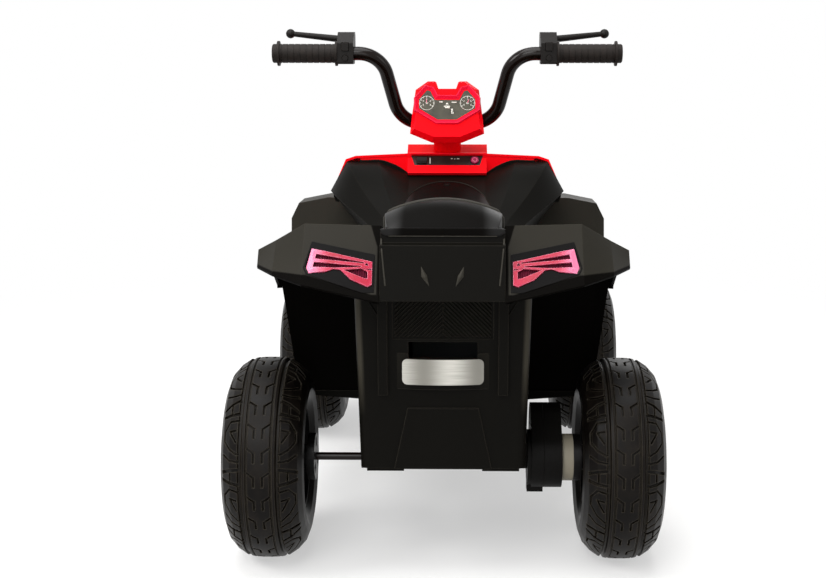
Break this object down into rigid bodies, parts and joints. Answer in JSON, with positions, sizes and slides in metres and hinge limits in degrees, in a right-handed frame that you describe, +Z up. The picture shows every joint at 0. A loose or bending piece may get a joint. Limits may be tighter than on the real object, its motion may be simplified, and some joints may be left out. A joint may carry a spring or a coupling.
{
  "type": "kids quad bike",
  "caption": "Battery kids quad bike with a moulded body, flared fenders, raked handlebar, knobbly wheels, geared rear drive and linked steering.",
  "frame": {"origin": "on the ground under the middle of the vehicle's overall length and width", "axes": "+Y forward (the way the rider faces), +X to the rider's right, +Z up"},
  "size_m": [0.438, 0.722, 0.534],
  "materials": {
    "black_plastic": "moulded satin texture",
    "red_plastic": "gloss moulded",
    "lamp_red": "gloss",
    "lamp_clear": "gloss",
    "panel_black": "satin",
    "tyre_plastic": "blow-moulded satin",
    "rim_plastic": "satin",
    "cap_plastic": "gloss",
    "nylon": "natural nylon",
    "gearbox_black": "satin",
    "steel": "zinc plated",
    "bar_paint": "gloss black",
    "grip_rubber": "soft matt",
    "control_black": "satin",
    "button_red": "gloss",
    "plate_silver": "silver satin",
    "battery_grey": "matt",
    "board_green": "lacquered",
    "speaker_black": "matt"
  },
  "bodies": {
    "chassis": {"lower_body": "black_plastic", "rear_body": "black_plastic", "tank_cover": "black_plastic", "seat": "black_plastic", "front_bumper": "black_plastic", "front_fender_left": "black_plastic", "front_fender_right": "black_plastic", "tail_panel": "black_plastic", "hood": "red_plastic", "tail_lamps": "lamp_red", "headlamps": "lamp_clear", "dash_panel": "panel_black", "charge_socket": "panel_black", "pedal_switch": "panel_black", "column_bushes": "nylon", "gearbox_inner": "gearbox_black", "gearbox_outer": "gearbox_black", "rear_axle": "steel", "axle_nuts": "steel", "motor": "steel", "body_screws": "steel", "rear_plate": "plate_silver", "battery": "battery_grey", "control_board": "board_green", "speaker": "speaker_black"},
    "steering": {"steering_column": "steel", "handlebar": "bar_paint", "grips": "grip_rubber", "control_housings": "control_black", "binnacle": "red_plastic", "instrument_panel": "panel_black"},
    "knuckle_left": {"knuckle_left": "steel", "stub_nut_left": "steel"},
    "knuckle_right": {"knuckle_right": "steel", "stub_nut_right": "steel"},
    "tie_rod": {"tie_rod": "steel"},
    "wheel_rear_left": {"tyre_rear_left": "tyre_plastic", "rim_rear_left": "rim_plastic", "hub_cap_rear_left": "cap_plastic"},
    "wheel_rear_right": {"tyre_rear_right": "tyre_plastic", "rim_rear_right": "rim_plastic", "hub_cap_rear_right": "cap_plastic", "drive_gear": "nylon"},
    "wheel_front_left": {"tyre_front_left": "tyre_plastic", "rim_front_left": "rim_plastic", "hub_cap_front_left": "cap_plastic"},
    "wheel_front_right": {"tyre_front_right": "tyre_plastic", "rim_front_right": "rim_plastic", "hub_cap_front_right": "cap_plastic"},
    "reduction_gear": {"reduction_gear": "nylon"},
    "motor_pinion": {"motor_pinion": "steel"},
    "brake_lever_left": {"brake_lever_left": "control_black"},
    "brake_lever_right": {"brake_lever_right": "control_black"},
    "upper_button_left": {"upper_button_left": "control_black"},
    "upper_button_right": {"upper_button_right": "control_black"},
    "lower_button_left": {"lower_button_left": "control_black"},
    "lower_button_right": {"lower_button_right": "control_black"},
    "power_button": {"power_button": "button_red"},
    "direction_switch": {"direction_switch": "control_black"},
    "foot_pedal": {"foot_pedal": "control_black"}
  },
  "joints": [
    {"name": "steer", "type": "hinge", "parent": "chassis", "child": "steering", "pos_m": [0, 0.069, 0.423], "axis": [0, -0.342, 0.9397], "range_deg": [-22, 22]},
    {"name": "kingpin_left", "type": "hinge", "parent": "chassis", "child": "knuckle_left", "pos_m": [-0.108, 0.219, 0.1025], "axis": [0, 0, 1], "range_deg": [-22, 22]},
    {"name": "kingpin_right", "type": "hinge", "parent": "chassis", "child": "knuckle_right", "pos_m": [0.108, 0.219, 0.1025], "axis": [0, 0, 1], "range_deg": [-22, 22]},
    {"name": "tie_rod_pivot", "type": "hinge", "parent": "knuckle_left", "child": "tie_rod", "pos_m": [-0.108, 0.184, 0.08692], "axis": [0, 0, 1], "range_deg": [-22, 22]},
    {"name": "wheel_spin_rear_left", "type": "hinge", "parent": "chassis", "child": "wheel_rear_left", "pos_m": [-0.178, -0.231, 0.1025], "axis": [1, 0, 0], "continuous": true},
    {"name": "wheel_spin_rear_right", "type": "hinge", "parent": "chassis", "child": "wheel_rear_right", "pos_m": [0.178, -0.231, 0.1025], "axis": [1, 0, 0], "continuous": true},
    {"name": "wheel_spin_front_left", "type": "hinge", "parent": "knuckle_left", "child": "wheel_front_left", "pos_m": [-0.178, 0.219, 0.1025], "axis": [1, 0, 0], "continuous": true},
    {"name": "wheel_spin_front_right", "type": "hinge", "parent": "knuckle_right", "child": "wheel_front_right", "pos_m": [0.178, 0.219, 0.1025], "axis": [1, 0, 0], "continuous": true},
    {"name": "reduction_spin", "type": "hinge", "parent": "chassis", "child": "reduction_gear", "pos_m": [0.10065, -0.20835, 0.12595], "axis": [1, 0, 0], "continuous": true},
    {"name": "motor_spin", "type": "hinge", "parent": "chassis", "child": "motor_pinion", "pos_m": [0.09265, -0.1932, 0.10348], "axis": [1, 0, 0], "continuous": true},
    {"name": "lever_left", "type": "hinge", "parent": "steering", "child": "brake_lever_left", "pos_m": [-0.11835, 0.05479, 0.5215], "axis": [0, -0.6958, 0.7182], "range_deg": [0, 11], "stiffness_Nm_per_rad": 1.5},
    {"name": "lever_right", "type": "hinge", "parent": "steering", "child": "brake_lever_right", "pos_m": [0.11835, 0.05479, 0.5215], "axis": [0, 0.6958, -0.7182], "range_deg": [0, 11], "stiffness_Nm_per_rad": 1.5},
    {"name": "upper_button_press_left", "type": "slide", "parent": "steering", "child": "upper_button_left", "axis": [0, 1, 0], "range_m": [0, 0.0015], "stiffness_N_per_m": 500},
    {"name": "upper_button_press_right", "type": "slide", "parent": "steering", "child": "upper_button_right", "axis": [0, 1, 0], "range_m": [0, 0.0015], "stiffness_N_per_m": 500},
    {"name": "lower_button_press_left", "type": "slide", "parent": "steering", "child": "lower_button_left", "axis": [0, 1, 0], "range_m": [0, 0.0015], "stiffness_N_per_m": 500},
    {"name": "lower_button_press_right", "type": "slide", "parent": "steering", "child": "lower_button_right", "axis": [0, 1, 0], "range_m": [0, 0.0015], "stiffness_N_per_m": 500},
    {"name": "power_press", "type": "slide", "parent": "chassis", "child": "power_button", "axis": [0, 0.774, -0.6332], "range_m": [0, 0.0015], "stiffness_N_per_m": 500},
    {"name": "direction_rock", "type": "hinge", "parent": "chassis", "child": "direction_switch", "pos_m": [-0.03, 0.0557, 0.37666], "axis": [1, 0, 0], "range_deg": [-16, 0]},
    {"name": "pedal_press", "type": "hinge", "parent": "chassis", "child": "foot_pedal", "pos_m": [0.125, -0.003, 0.1505], "axis": [-1, 0, 0], "range_deg": [0, 8], "stiffness_Nm_per_rad": 3.5}
  ],
  "couplings": [
    {"joint": "kingpin_left", "follows": "steer", "ratio": 1},
    {"joint": "kingpin_right", "follows": "steer", "ratio": 1},
    {"joint": "tie_rod_pivot", "follows": "steer", "ratio": -1},
    {"joint": "reduction_spin", "follows": "wheel_spin_rear_right", "ratio": -3.3333},
    {"joint": "motor_spin", "follows": "wheel_spin_rear_right", "ratio": 14.667}
  ]
}
